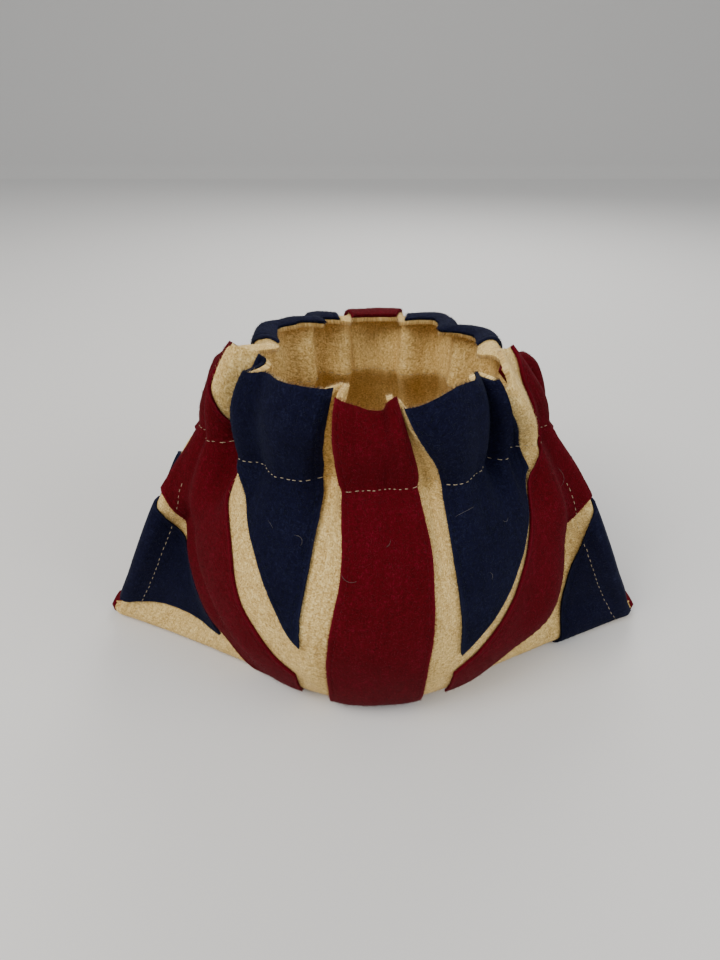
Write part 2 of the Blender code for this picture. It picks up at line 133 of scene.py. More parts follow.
# how many degrees further round the pot the cloth clings: front by the spout, front by the handle, back
WING_WRAP = (36.0, 31.0, 24.0)
FLANK_FULL = 0.0025         # how far the felt stands off the pot's lower flanks
TURN_AWAY = 9.0             # the further the cloth clings, the more sharply it then turns out to the hem
BASE_RADIUS = 0.057
NECK_HEIGHT = 0.098
RUFFLE_FRONT = 0.034
RUFFLE_BACK = 0.038
RUFFLE_RADIUS = 0.0585
EDGE_DROP = 0.036
CREASE_ROUND = 0.0040
SOFT_REACH = 0.0060
FOLD_ROUND = 0.0021         # radius of the side hem's fold, on its outer side
HEM_WIDTH = 0.0085
FOLD_AT = HALF_WIDTH - FOLD_ROUND
FOLD_LENGTH = math.pi * FOLD_ROUND
CUT_HALF = FOLD_AT + FOLD_LENGTH + HEM_WIDTH     # half the cloth's width before its hems are turned

# side view of the bellied pot: height above the cloth's underside, radius
POT_SIDE = (
    (0.000, BASE_RADIUS), (0.004, 0.0620), (0.010, 0.0670), (0.020, 0.0725), (0.035, 0.0770),
    (0.050, 0.0785), (0.065, 0.0765), (0.080, 0.0705), (0.090, 0.0635), (NECK_HEIGHT, 0.0560),
)
# the side hems: height, distance from the middle along X, half gap of the opening along Y
SIDE_HEM = (
    (0.000, HALF_WIDTH, CORNER_HALF), (0.012, 0.1145, 0.0115), (0.025, 0.1075, 0.0150),
    (0.045, 0.0985, 0.0180), (0.060, 0.0915, 0.0180), (0.075, 0.0845, 0.0160),
    (0.088, 0.0765, 0.0110), (NECK_HEIGHT, 0.0690, 0.0035),
)
# folds: place along u, depth outwards (+) or inwards (-), half width, reach below the stitch, lean along u
FRONT_FOLDS = (
    (-0.114, 0.0015, 0.007, 0.030, 0.0000),
    (-0.098, 0.0050, 0.010, 0.060, 0.0000),
    (-0.083, -0.0080, 0.010, 0.034, -0.0020),
    (-0.070, 0.0032, 0.009, 0.030, 0.0000),
    (-0.058, -0.0010, 0.008, 0.020, 0.0000),
    (-0.046, 0.0024, 0.014, 0.034, 0.0000),
    (-0.026, -0.0080, 0.0095, 0.040, 0.0015),
    (-0.015, 0.0020, 0.007, 0.050, 0.0000),
    (0.004, -0.0012, 0.010, 0.030, 0.0000),
    (0.022, -0.0045, 0.008, 0.045, 0.0010),
    (0.038, 0.0030, 0.011, 0.040, 0.0000),
    (0.060, -0.0065, 0.010, 0.028, 0.0020),
    (0.069, 0.0020, 0.006, 0.024, 0.0000),
    (0.079, -0.0034, 0.012, 0.040, 0.0000),
    (0.094, 0.0050, 0.011, 0.055, 0.0000),
    (0.110, -0.0020, 0.007, 0.040, 0.0000),
)
BACK_FOLDS = (
    (-0.108, 0.0035, 0.010, 0.040, 0.0000),
    (-0.090, -0.0065, 0.010, 0.050, 0.0000),
    (-0.072, 0.0040, 0.010, 0.035, 0.0000),
    (-0.050, -0.0075, 0.010, 0.050, 0.0030),
    (-0.036, 0.0030, 0.009, 0.040, 0.0000),
    (-0.022, -0.0050, 0.008, 0.045, 0.0020),
    (0.002, 0.0020, 0.014, 0.035, 0.0000),
    (0.025, -0.0055, 0.009, 0.055, -0.0020),
    (0.042, 0.0030, 0.010, 0.040, 0.0000),
    (0.060, -0.0065, 0.010, 0.045, 0.0000),
    (0.078, 0.0040, 0.011, 0.040, 0.0000),
    (0.096, -0.0050, 0.010, 0.040, 0.0000),
)
# the ruffle is drawn together above the stitch: side, place along u, half width, shift along its top edge
RUFFLE_SWAY = (
    ("front", -0.085, 0.050, 0.0080), ("front", -0.066, 0.016, -0.0030), ("front", -0.036, 0.024, 0.0070),
    ("front", -0.014, 0.020, -0.0030), ("front", 0.030, 0.030, -0.0140),
    ("front", 0.094, 0.052, -0.0165),
    ("back", -0.080, 0.050, 0.0030), ("back", 0.080, 0.050, -0.0040),
)
# the ruffle's top edge is cut by eye: side, place along u, half width, how much higher it stands
TOP_EDGE = (
    ("front", -0.094, 0.014, 0.0060), ("front", -0.050, 0.040, 0.0020), ("front", 0.000, 0.022, -0.0060),
    ("front", 0.030, 0.014, -0.0040), ("front", 0.045, 0.022, 0.0015), ("front", 0.086, 0.020, -0.0070),
    ("front", 0.106, 0.016, 0.0020),
    ("back", 0.000, 0.130, 0.0030), ("back", -0.060, 0.030, 0.0020), ("back", 0.000, 0.022, -0.0010),
    ("back", 0.085, 0.030, -0.0020),
)
# the wall leans sideways here: side, place along u, half width, distance below the stitch, half height, shift
WALL_SWAY = (
    ("front", -0.010, 0.022, 0.028, 0.046, 0.0040), ("front", 0.014, 0.020, 0.022, 0.022, 0.0025),
    ("front", 0.014, 0.020, 0.045, 0.030, 0.0028),
)
# slanted creases of the wall: u, v at both ends, depth, half width
CREASES = (
    (-0.113, -0.110, -0.046, -0.064, -0.0045, 0.012),
    (0.110, -0.088, 0.078, -0.040, -0.0030, 0.010),
    (0.100, -0.138, 0.058, -0.066, 0.0045, 0.018),
    (-0.030, -0.128, -0.020, -0.070, 0.0016, 0.008),
    (-0.108, 0.106, -0.056, 0.070, -0.0040, 0.011),
    (0.112, 0.108, 0.050, 0.066, -0.0040, 0.011),
)


def smooth(x):
    """Ease from 0 to 1."""
    x = np.clip(x, 0.0, 1.0)
    return x * x * (3.0 - 2.0 * x)


def eased(rows, column):
    """A curve through one column of a table, with no corners and no overshoot."""
    xs = np.array([row[0] for row in rows])
    ys = np.array([row[column] for row in rows])
    slopes = np.diff(ys) / np.diff(xs)
    tangents = [slopes[0]]
    for before, after in zip(slopes[:-1], slopes[1:]):
        tangents.append(0.0 if before * after <= 0.0 else 2.0 * before * after / (before + after))
    tangents = np.array(tangents + [slopes[-1]])

    def value(x):
        x = np.clip(x, xs[0], xs[-1])
        i = np.clip(np.searchsorted(xs, x, side="right") - 1, 0, len(xs) - 2)
        width = xs[i + 1] - xs[i]
        t = (x - xs[i]) / width
        return (
            ys[i] * (2 * t**3 - 3 * t**2 + 1) + tangents[i] * width * (t**3 - 2 * t**2 + t)
            + ys[i + 1] * (3 * t**2 - 2 * t**3) + tangents[i + 1] * width * (t**3 - t**2)
        )

    return value


pot_radius = eased(POT_SIDE, 1)
hem_reach = eased(SIDE_HEM, 1)
hem_gap = eased(SIDE_HEM, 2)
SIDE_HEIGHTS = np.linspace(0.0, NECK_HEIGHT, 200)
SIDE_RADII = pot_radius(SIDE_HEIGHTS)
SIDE_LENGTHS = np.concatenate(([0.0], np.cumsum(np.hypot(np.diff(SIDE_HEIGHTS), np.diff(SIDE_RADII)))))
WALL_LENGTH = SIDE_LENGTHS[-1]
NECK_MIDDLE = BASE_RADIUS + WALL_LENGTH
PLAN_ROWS = 120
PLAN_COLUMNS = 90


def plan_row(height, wrap):
    """The cloth's front seen from above at one height, as even points from the middle to a side hem.

    The cloth lies on the round pot, leaves it part of the way round and sags in a hollow to the hem.
    """
    radius = float(pot_radius(height))
    hem = Vector((float(hem_reach(height)), -float(hem_gap(height))))
    taut = math.atan2(-hem.y, hem.x) + math.acos(min(1.0, radius / hem.length))
    hollow = float(smooth(height / 0.020) * smooth((NECK_HEIGHT - height) / 0.030))
    cling = float(smooth(height / 0.035) * smooth((NECK_HEIGHT - height) / 0.045))
    leave = taut - math.radians(wrap) * cling
    points = [
        Vector((radius * math.sin(turn), -radius * math.cos(turn)))
        for turn in np.linspace(0.0, math.pi / 2 - leave, 40)
    ]
    start = points[-1]
    span = (hem - start).length
    ahead = start + Vector((math.sin(leave), math.cos(leave))) * span * TURN_AWAY / wrap
    straight = (hem - start).normalized()
    lip = Vector((1.0, -0.25)).normalized()
    behind = hem - straight.lerp(lip, hollow) * span * 0.38
    for t in np.linspace(0.0, 1.0, 40)[1:]:
        t = float(t)
        points.append(
            start * (1 - t) ** 3 + ahead * 3 * t * (1 - t) ** 2 + behind * 3 * t**2 * (1 - t) + hem * t**3
        )
    points = np.array([tuple(point) for point in points])
    low = float(smooth((height - 0.018) / 0.012) * smooth((0.075 - height) / 0.045))
    points[:, 0] += FLANK_FULL * low * smooth(points[:, 0] / 0.05) * smooth((hem.x - points[:, 0]) / 0.05)
    lengths = np.concatenate(([0.0], np.cumsum(np.hypot(*np.diff(points, axis=0).T))))
    even = np.linspace(0.0, lengths[-1], PLAN_COLUMNS)
    return np.stack([np.interp(even, lengths, points[:, axis]) for axis in (0, 1)], axis=-1)


PLAN_HEIGHTS = np.linspace(0.0, NECK_HEIGHT, PLAN_ROWS)
PLAN = np.array([[plan_row(height, wrap) for height in PLAN_HEIGHTS] for wrap in WING_WRAP])
PLAN_ALONG = np.gradient(PLAN, axis=2)
PLAN_ALONG /= np.linalg.norm(PLAN_ALONG, axis=3, keepdims=True)


def plan_point(height, share, front):
    """Points of the cloth seen from above, with the back turned to the front, and their outward directions."""
    which = np.where(front, np.where(share < 0, 0, 1), 2)
    row = np.clip(height / NECK_HEIGHT, 0, 1) * (PLAN_ROWS - 1)
    column = np.clip(np.abs(share), 0, 1) * (PLAN_COLUMNS - 1)
    i = np.minimum(row.astype(int), PLAN_ROWS - 2)
    j = np.minimum(column.astype(int), PLAN_COLUMNS - 2)
    a = (row - i)[:, None]
    b = (column - j)[:, None]

    def between(chart):
        low = chart[which, i, j] * (1 - b) + chart[which, i, j + 1] * b
        high = chart[which, i + 1, j] * (1 - b) + chart[which, i + 1, j + 1] * b
        return low * (1 - a) + high * a

    place = between(PLAN)
    along = between(PLAN_ALONG)
    along /= np.linalg.norm(along, axis=1, keepdims=True)
    sign = np.where(share < 0, -1.0, 1.0)
    zero = np.zeros_like(sign)
    out = np.stack([sign * along[:, 1], -along[:, 0], zero], axis=-1)
    return np.stack([sign * place[:, 0], place[:, 1], zero], axis=-1), out


def floor_depth(u):
    """How far from the centre line the cloth leaves the table at a place along u."""
    return np.interp(np.abs(u), PLAN[0, 0, :, 0], -PLAN[0, 0, :, 1])


def turn_up(u):
    """Flat distance from the centre line to where the cloth leaves the table, with the bunched felt."""
    return floor_depth(u) + CORNER_BUNCH * (np.abs(u) / HALF_WIDTH) ** 3


def neck_length(u):
    """Flat distance from the centre line to the gathering stitch at a place along u."""
    return NECK_MIDDLE - EDGE_DROP * (np.abs(u) / HALF_WIDTH) ** 2


def fold_shift(folds, u, below):
    """Outward and sideways shift of the cloth at a place along u, a distance below the stitch."""
    outward = np.zeros_like(u)
    sideways = np.zeros_like(u)
    for place, depth, half_width, reach, lean in folds:
        share = smooth(1.0 - np.abs(u - place) / half_width) * smooth(1.0 - below / reach)
        outward += depth * share
        sideways += lean * share
    return outward, sideways


def top_shift(rows, u, name):
    """Sum of a table's bumps at a place along u, for the front or the back."""
    total = np.zeros_like(u)
    for label, place, half_width, amount in rows:
        if label == name:
            total += amount * smooth(1.0 - np.abs(u - place) / half_width)
    return total


def wall_sway(u, below, name):
    """Sideways shift of the wall at a place along u, a distance below the stitch."""
    total = np.zeros_like(u)
    for label, place, half_width, middle, half_height, amount in WALL_SWAY:
        if label == name:
            near = smooth(1.0 - np.abs(u - place) / half_width)
            total += amount * near * smooth(1.0 - np.abs(below - middle) / half_height)
    return total


def crease_shift(u, v):
    """Outward shift of the cloth near the slanted creases."""
    outward = np.zeros_like(u)
    for u1, v1, u2, v2, depth, half_width in CREASES:
        line = np.array([u2 - u1, v2 - v1])
        length = np.hypot(*line)
        part = ((u - u1) * line[0] + (v - v1) * line[1]) / length**2
        aside = np.abs((u - u1) * line[1] - (v - v1) * line[0]) / length
        outward += depth * smooth(1.0 - aside / half_width) * smooth(np.minimum(part, 1.0 - part) / 0.3)
    return outward


def hang_sharp(u, v):
    """Where points of the flat cloth hang, before its bends are softened."""
    distance = np.abs(v)
    depth = turn_up(u)
    front = v < 0
    wall = neck_length(u) - depth
    climbed = np.maximum(distance - depth, 0.0)
    part = np.minimum(1.0, climbed / wall)
    wing = smooth((np.abs(u) / HALF_WIDTH - 0.45) / 0.5)
    centre_height = np.interp(part * WALL_LENGTH, SIDE_LENGTHS, SIDE_HEIGHTS)
    height = centre_height * (1 - wing) + NECK_HEIGHT * part * wing
    floor_share = np.interp(np.abs(u), PLAN[0, 0, :, 0], np.linspace(0, 1, PLAN_COLUMNS))
    even = smooth(part / 0.4)
    share = np.copysign(floor_share * (1 - even) + np.abs(u) / HALF_WIDTH * even, u)
    place, out = plan_point(height, share, front)
    along = np.stack([-out[:, 1], out[:, 0], np.zeros_like(u)], axis=-1)
    above = np.maximum(0.0, climbed - wall)
    below = np.maximum(0.0, wall - climbed)
    outward, sideways = np.where(front, fold_shift(FRONT_FOLDS, u, below), fold_shift(BACK_FOLDS, u, below))
    outward += crease_shift(u, v)
    sideways += np.where(front, wall_sway(u, below, "front"), wall_sway(u, below, "back"))
    part_up = above / np.where(front, RUFFLE_FRONT, RUFFLE_BACK)
    spread = RUFFLE_RADIUS / np.linalg.norm(place, axis=1)
    place *= (1.0 + (spread - 1.0) * smooth(part_up))[:, None]
    outward += 0.0020 * np.sin(math.pi * np.minimum(1.0, part_up))
    sway = np.where(front, top_shift(RUFFLE_SWAY, u, "front"), top_shift(RUFFLE_SWAY, u, "back"))
    sideways += sway * smooth(part_up)
    rise = height * (1.0 - np.exp(-climbed / CREASE_ROUND)) + above
    rise += np.where(front, top_shift(TOP_EDGE, u, "front"), top_shift(TOP_EDGE, u, "back")) * part_up
    curl = np.where(front, np.maximum(0.0, part_up - 0.64) / 0.36, np.maximum(0.0, part_up - 0.62) / 0.38)
    outward -= np.where(front, 0.0040 * curl**2, 0.0115 * curl)
    rise -= np.where(front, 0.0012 * curl**2, 0.0130 * curl**1.5)
    place += out * outward[:, None] + along * sideways[:, None]
    place[:, 1] *= np.where(front, 1.0, -1.0)
    place[:, 2] = BASE_Z + rise
    flat = np.stack([u, v * floor_depth(u) / depth, np.full_like(u, BASE_Z)], axis=-1)
    return np.where((distance <= depth)[:, None], flat, place)


GATHER_SIZE = 0.0075        # one small pucker along the gathering stitch
GATHER_DEPTH = 0.0007
STITCH_PULL = 0.0009        # how far the gathering stitch draws the felt in
RUMPLE = 0.0006             # soft unevenness of the hanging felt


def rumple(u, v):
    """Small outward unevenness: the stitch's valley, its puckers, and the soft swell of the felt."""
    off_stitch = np.abs(v) - neck_length(u)
    pucker = np.array([noise.noise(Vector((a / GATHER_SIZE, 0.0, b))) for a, b in zip(u, np.sign(v))])
    swell = np.array([noise.noise(Vector((a / 0.020, b / 0.024, 4.0))) for a, b in zip(u, v)])
    fine = np.array([noise.noise(Vector((a / 0.008, b / 0.013, 9.0))) for a, b in zip(u, v)])
    lifted = smooth((np.abs(v) - turn_up(u)) / 0.012)
    draw = GATHER_DEPTH * pucker * np.exp(-((off_stitch / 0.010) ** 2))
    valley = -STITCH_PULL * np.exp(-((off_stitch / 0.0030) ** 2))
    return (draw + valley + RUMPLE * (swell + 0.35 * fine)) * lifted


def hang(u, v):
    """Where points of the flat cloth hang, with its bends softened along v."""
    u = np.asarray(u, float)
    v = np.asarray(v, float)
    steps = [SOFT_REACH * k for k in (-1.0, -0.5, 0.0, 0.5, 1.0)]
    soft = sum(hang_sharp(u, v + step) for step in steps) / len(steps)
    flat = np.stack([u, v * floor_depth(u) / turn_up(u), np.full_like(u, BASE_Z)], axis=-1)
    return np.where((np.abs(v) <= turn_up(u) - SOFT_REACH)[:, None], flat, soft)


def unit(vectors):
    """Vectors made one long."""
    return vectors / np.maximum(np.linalg.norm(vectors, axis=1, keepdims=True), 1e-12)


def cloth_at(u, v, lift=0.0):
    """Points above the cloth's outer side by a lift, their outward directions and directions along u.

    Past the side fold the cloth turns back on its inner side, round an arc and then flat.
    """
    u = np.asarray(u, float)
    v = np.asarray(v, float)
    sign = np.where(u < 0, -1.0, 1.0)
    over = np.maximum(0.0, np.abs(u) - FOLD_AT)
    back = np.maximum(0.0, over - FOLD_LENGTH)
    at = sign * (np.minimum(np.abs(u), FOLD_AT) - back)
    step = 0.0005
    place = hang(at, v)
    along = unit(hang(at + step, v) - hang(at - step, v))
    up = hang(at, v + step) - hang(at, v - step)
    out = unit(np.cross(up, along))
    place = place + out * rumple(at, v)[:, None]
    turn = np.minimum(over, FOLD_LENGTH) / FOLD_ROUND
    outer = along * sign[:, None]
    place = place + (outer * np.sin(turn)[:, None] - out * (1 - np.cos(turn))[:, None]) * FOLD_ROUND
    facing = unit(out * np.cos(turn)[:, None] + outer * np.sin(turn)[:, None])
    return place + facing * np.broadcast_to(lift, u.shape)[:, None], facing, along


COLUMN_STEPS = 148
FLOOR_STEPS = 26
WALL_STEPS = 60
RUFFLE_STEPS = 22


def flat_grid():
    """The cloth's cut shape as a fine flat grid, its rows following the table line and the stitch line."""
    rows = 2 * (FLOOR_STEPS + WALL_STEPS + RUFFLE_STEPS)
    columns = COLUMN_STEPS + 16
    bm = bmesh.new()
    bmesh.ops.create_grid(bm, x_segments=columns, y_segments=rows, size=0.5)
    for vert in bm.verts:
        i = round((vert.co.x + 0.5) * columns)
        j = round((vert.co.y + 0.5) * rows) - rows // 2
        steps_out = max(0, abs(i - columns / 2) - COLUMN_STEPS / 2)
        u = min(abs(i - columns / 2), COLUMN_STEPS / 2) * FOLD_AT * 2 / COLUMN_STEPS
        u += steps_out * (CUT_HALF - FOLD_AT) / 8
        u = math.copysign(u, i - columns / 2)
        reach = min(abs(u), HALF_WIDTH)
        k = abs(j)
        depth = float(turn_up(reach))
        neck = float(neck_length(reach))
        if k <= FLOOR_STEPS:
            v = depth * k / FLOOR_STEPS
        elif k <= FLOOR_STEPS + WALL_STEPS:
            v = depth + (neck - depth) * (k - FLOOR_STEPS) / WALL_STEPS
        else:
            tall = RUFFLE_FRONT if j < 0 else RUFFLE_BACK
            v = neck + tall * (k - FLOOR_STEPS - WALL_STEPS) / RUFFLE_STEPS
        vert.co = (u, math.copysign(v, j), 0.0)
    bmesh.ops.reverse_faces(bm, faces=bm.faces)
    return bm


def cut_size(bm):
    """Width and length of the smallest rectangle round a flat piece, and the piece's area."""
    points = np.array([vert.co[:2] for vert in bm.verts])
    best = None
    for degrees in range(0, 90, 3):
        turn = math.radians(degrees)
        spin = np.array([[math.cos(turn), -math.sin(turn)], [math.sin(turn), math.cos(turn)]])
        spans = np.ptp(points @ spin, axis=0)
        if best is None or spans[0] * spans[1] < best[0] * best[1]:
            best = spans
    return sorted(float(x) for x in best), sum(face.calc_area() for face in bm.faces)


def ragged(bm, amount, keep_hem):
    """Shift a flat piece's cut edges a little, as scissors leave them."""
    for vert in bm.verts:
        if vert.is_boundary and not (keep_hem and abs(vert.co.x) > CUT_HALF - 1e-5):
            wave = noise.noise_vector(Vector((vert.co.x / 0.012, vert.co.y / 0.012, 2.0)))
            ripple = noise.noise_vector(Vector((vert.co.x / 0.0017, vert.co.y / 0.0017, 7.0)))
            vert.co.x += amount * (wave.x + 0.6 * ripple.x)
            vert.co.y += amount * (wave.y + 0.6 * ripple.y)


def felt_piece(name, bm, lift, thick, inwards, finish, node, sides=()):
    """Lay a flat cut piece in its place and give it its thickness, its flat map and its finish."""
    (width, length), area = cut_size(bm)
    flat = np.array([vert.co[:2] for vert in bm.verts])
    place = cloth_at(flat[:, 0], flat[:, 1], lift)[0]
    uv = bm.loops.layers.uv.new("flat_cut")
    for face in bm.faces:
        for loop in face.loops:
            loop[uv].uv = loop.vert.co[:2]
    edge = bm.verts.layers.float.new("from_edge")
    reach = np.full(len(flat), 0.05)
    for start, end in sides:
        run = np.subtract(end, start)
        away = np.abs(run[0] * (flat[:, 1] - start[1]) - run[1] * (flat[:, 0] - start[0])) / np.hypot(*run)
        reach = np.minimum(reach, away)
    bm.verts.ensure_lookup_table()
    for index, vert in enumerate(bm.verts):
        vert[edge] = reach[index]
        vert.co = place[index]
    mesh = bpy.data.meshes.new(name)
    bm.to_mesh(mesh)
    bm.free()
    piece = bpy.data.objects.new(name, mesh)
    bpy.context.scene.collection.objects.link(piece)
    piece.data.materials.append(finish)
    bpy.context.view_layer.objects.active = piece
    solid = piece.modifiers.new("thickness", "SOLIDIFY")
    solid.thickness = thick
    solid.offset = -1.0 if inwards else 1.0
    round_off = piece.modifiers.new("soft_edge", "BEVEL")
    round_off.width = 0.28 * thick
    round_off.segments = 2
    round_off.limit_method = "ANGLE"
    round_off.angle_limit = math.radians(55)
    bpy.ops.object.modifier_apply(modifier="thickness")
    bpy.ops.object.modifier_apply(modifier="soft_edge")
    piece.data.shade_smooth()
    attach(piece, "root")
    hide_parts(node)
    return piece


frame_slot = {entry["node"]: entry["material_slot"] for entry in frame["record"]["subparts"]}


def joined(tree, kind, **values):
    """A new node with its settings."""
    made = tree.nodes.new(kind)
    for key, value in values.items():
        setattr(made, key, value)
    return made


def wool_group():
    """Brushed wool felt: a fine worm-like mottle, short fibres lying every way, and faint threads below."""
    group = bpy.data.node_groups.new("brushed_wool", "ShaderNodeTree")
    sockets = group.interface
    sockets.new_socket("Flat Place", in_out="INPUT", socket_type="NodeSocketVector")
    sockets.new_socket("From Edge", in_out="INPUT", socket_type="NodeSocketFloat")
    for label in ("Deep Colour", "Main Colour", "Tip Colour"):
        sockets.new_socket(label, in_out="INPUT", socket_type="NodeSocketColor")
    sockets.new_socket("Mottle", in_out="INPUT", socket_type="NodeSocketFloat")
    sockets.new_socket("Fleck Amount", in_out="INPUT", socket_type="NodeSocketFloat")
    sockets.new_socket("Colour", in_out="OUTPUT", socket_type="NodeSocketColor")
    sockets.new_socket("Height", in_out="OUTPUT", socket_type="NodeSocketFloat")
    sockets.new_socket("Roughness", in_out="OUTPUT", socket_type="NodeSocketFloat")
    come = group.nodes.new("NodeGroupInput")
    go = group.nodes.new("NodeGroupOutput")
    link = group.links.new

    def grain(size, detail, twist=0.0, turn=0.0, stretch=1.0):
        spread = joined(group, "ShaderNodeMapping")
        spread.inputs["Rotation"].default_value = (0, 0, math.radians(turn))
        spread.inputs["Scale"].default_value = (1, stretch, 1)
        made = joined(group, "ShaderNodeTexNoise")
        made.inputs["Scale"].default_value = 1.0 / size
        made.inputs["Detail"].default_value = detail
        made.inputs["Roughness"].default_value = 0.6
        made.inputs["Distortion"].default_value = twist
        link(come.outputs["Flat Place"], spread.inputs["Vector"])
        link(spread.outputs["Vector"], made.inputs["Vector"])
        return made.outputs["Fac"]

    def reckon(operation, first, second, clamp=False):
        made = joined(group, "ShaderNodeMath", operation=operation, use_clamp=clamp)
        for socket, value in zip(made.inputs, (first, second)):
            if isinstance(value, (int, float)):
                socket.default_value = value
            else:
                link(value, socket)
        return made.outputs[0]

    def swing(value, amount):
        return reckon("MULTIPLY", reckon("SUBTRACT", value, 0.5), amount)

    def blend(factor, first, second):
        made = joined(group, "ShaderNodeMix", data_type="RGBA")
        link(factor, made.inputs["Factor"])
        link(first, made.inputs["A"])
        link(second, made.inputs["B"])
        return made.outputs["Result"]

    def eased_step(value, low, high):
        made = joined(group, "ShaderNodeMapRange", interpolation_type="SMOOTHSTEP")
        made.inputs["From Min"].default_value = low
        made.inputs["From Max"].default_value = high
        link(value, made.inputs["Value"])
        return made.outputs["Result"]

    worms = grain(0.0011, 2.0, twist=1.2)
    nap = grain(0.0006, 2.0)
    fibres = reckon("MAXIMUM", grain(0.0021, 2.0, turn=34.0, stretch=0.16), grain(0.0021, 2.0, turn=-41.0, stretch=0.16))
    cloud = grain(0.014, 3.0)
    pills = grain(0.0042, 2.0)
    threads = joined(group, "ShaderNodeTexWave", wave_type="BANDS", bands_direction="X")
    threads.inputs["Scale"].default_value = THREAD_WAVES
    threads.inputs["Distortion"].default_value = 5.0
    threads.inputs["Detail"].default_value = 2.0
    link(come.outputs["Flat Place"], threads.inputs["Vector"])
    tone = reckon("ADD", swing(worms, 1.5), swing(nap, 0.9))
    tone = reckon("ADD", tone, swing(fibres, 0.5))
    tone = reckon("ADD", tone, swing(threads.outputs["Fac"], 0.07))
    tone = reckon("MULTIPLY", tone, come.outputs["Mottle"])
    tone = reckon("ADD", tone, reckon("ADD", swing(cloud, 0.45), swing(pills, 0.15)))
    dark = eased_step(tone, -0.45, 0.05)
    light = eased_step(tone, 0.0, 0.55)
    colour = blend(dark, come.outputs["Deep Colour"], come.outputs["Main Colour"])
    colour = blend(light, colour, come.outputs["Tip Colour"])
    edge = reckon("SUBTRACT", 1.0, eased_step(come.outputs["From Edge"], 0.0, 0.0011))
    colour = blend(reckon("MULTIPLY", edge, 0.45), colour, come.outputs["Tip Colour"])
    fleck = joined(group, "ShaderNodeTexVoronoi", feature="F1")
    fleck.inputs["Scale"].default_value = 1.0 / 0.0055
    link(come.outputs["Flat Place"], fleck.inputs["Vector"])
    spot = reckon("LESS_THAN", fleck.outputs["Distance"], 0.055)
    colour = blend(reckon("MULTIPLY", spot, come.outputs["Fleck Amount"]), colour, come.outputs["Tip Colour"])
    sewn = reckon("ABSOLUTE", reckon("SUBTRACT", come.outputs["From Edge"], SEAM_IN), 0.0)
    groove = reckon("SUBTRACT", 1.0, eased_step(sewn, 0.0, 0.0009))
    height = reckon("ADD", reckon("MULTIPLY", worms, 0.8), reckon("MULTIPLY", nap, 0.5))
    height = reckon("ADD", height, reckon("MULTIPLY", fibres, 0.4))
    height = reckon("ADD", height, reckon("MULTIPLY", pills, 1.0))
    height = reckon("SUBTRACT", height, reckon("MULTIPLY", groove, 0.9))
    link(colour, go.inputs["Colour"])
    link(height, go.inputs["Height"])
    link(reckon("ADD", swing(nap, 0.2), 0.9, True), go.inputs["Roughness"])
    return group


THREAD_WAVES = 0.314 / 0.0010    # faint warp threads, one to the millimetre
SEAM_IN = 0.0020                 # from a patch's cut edge to its stitches
brushed_wool = wool_group()


def wool(name, deep, main, tip, mottle, fleck, sheen, sheen_tint):
    """A brushed wool felt of one dye."""
    made = bpy.data.materials.new(name)
    made.use_nodes = True
    tree = made.node_tree
    shader = tree.nodes["Principled BSDF"]
    cut = joined(tree, "ShaderNodeUVMap", uv_map="flat_cut")
    inwards = joined(tree, "ShaderNodeAttribute", attribute_name="from_edge")
    felt = joined(tree, "ShaderNodeGroup", node_tree=brushed_wool)
    felt.inputs["Deep Colour"].default_value = (*deep, 1)
    felt.inputs["Main Colour"].default_value = (*main, 1)
    felt.inputs["Tip Colour"].default_value = (*tip, 1)
    felt.inputs["Mottle"].default_value = mottle
    felt.inputs["Fleck Amount"].default_value = fleck
    bump = joined(tree, "ShaderNodeBump")
    bump.inputs["Strength"].default_value = 0.5
    bump.inputs["Distance"].default_value = 0.0004
    tree.links.new(cut.outputs["UV"], felt.inputs["Flat Place"])
    tree.links.new(inwards.outputs["Fac"], felt.inputs["From Edge"])
    tree.links.new(felt.outputs["Colour"], shader.inputs["Base Color"])
    tree.links.new(felt.outputs["Roughness"], shader.inputs["Roughness"])
    tree.links.new(felt.outputs["Height"], bump.inputs["Height"])
    tree.links.new(bump.outputs["Normal"], shader.inputs["Normal"])
    shader.inputs["Sheen Weight"].default_value = sheen
    shader.inputs["Sheen Roughness"].default_value = 0.5
    shader.inputs["Sheen Tint"].default_value = (*sheen_tint, 1)
    shader.inputs["Specular IOR Level"].default_value = 0.08
    return made


cream_felt = wool(
    "cream_felt", (0.42, 0.265, 0.085), (0.64, 0.432, 0.150), (0.86, 0.65, 0.28), 1.7, 0.0, 0.04, (1.0, 0.85, 0.6)
)
cloth_cut = flat_grid()
ragged(cloth_cut, 0.0006, True)
felt_piece("cream_cloth", cloth_cut, 0.0, CLOTH_THICK, True, cream_felt, "base_cloth")

# ---- the red bars and diagonals -----------------------------------------------------------------
# Strips of dark wine-red felt.  The cross bar runs from hem to hem under the pot, the upright bar stops on
# either side of it, and four diagonals run up to the ruffle; all are sewn flat on the cream cloth.
BAR_HALF = 0.0168
TRIANGLE_REACH = 0.0865     # an inner triangle is cut off straight at this far from the centre line
CROSS_HALF = 0.0175
CROSS_MIDDLE = 0.0100       # the cross bar lies a little behind the pot's middle
CROSS_FRONT = CROSS_MIDDLE - CROSS_HALF
CROSS_BACK = CROSS_MIDDLE + CROSS_HALF
PATCH_THICK = 0.0012
FAR = 0.30                  # past the cloth's edges, where a strip runs out to a hem or the ruffle
